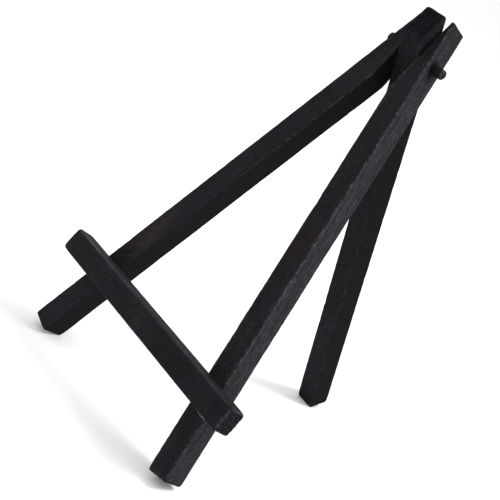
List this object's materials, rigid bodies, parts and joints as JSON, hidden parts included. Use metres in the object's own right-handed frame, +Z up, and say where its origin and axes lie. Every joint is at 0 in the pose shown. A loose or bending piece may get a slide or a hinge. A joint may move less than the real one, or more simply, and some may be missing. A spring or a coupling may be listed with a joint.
{
  "type": "tabletop display easel",
  "caption": "Small black-stained wooden tripod easel with splayed front legs, a crossbar ledge and a rear leg that folds about a dowel.",
  "frame": {"origin": "on the ground, at the middle of the easel's width and of its depth as it stands open", "axes": "+X to the right of the easel as seen from the front, +Y to its back, +Z up"},
  "size_m": [0.094, 0.1138, 0.1556],
  "materials": {
    "leg_wood": "black stain on rough-sawn softwood, matt",
    "crossbar_wood": "black stain on planed softwood, matt, worn at the arrises",
    "dowel_wood": "thin grey-black stain on a birch dowel, bare at the ends",
    "brad_steel": "plain wire, dull"
  },
  "bodies": {
    "front_frame": {"front_leg_left": "leg_wood", "front_leg_right": "leg_wood", "crossbar": "crossbar_wood", "pivot_dowel": "dowel_wood", "brad_left": "brad_steel", "brad_right": "brad_steel"},
    "rear_leg": {"rear_leg": "leg_wood"}
  },
  "joints": [
    {"name": "rear_leg_fold", "type": "hinge", "parent": "front_frame", "child": "rear_leg", "pos_m": [0, -0.00148, 0.14098], "axis": [1, 0, 0], "range_deg": [-41.5, 33]}
  ]
}
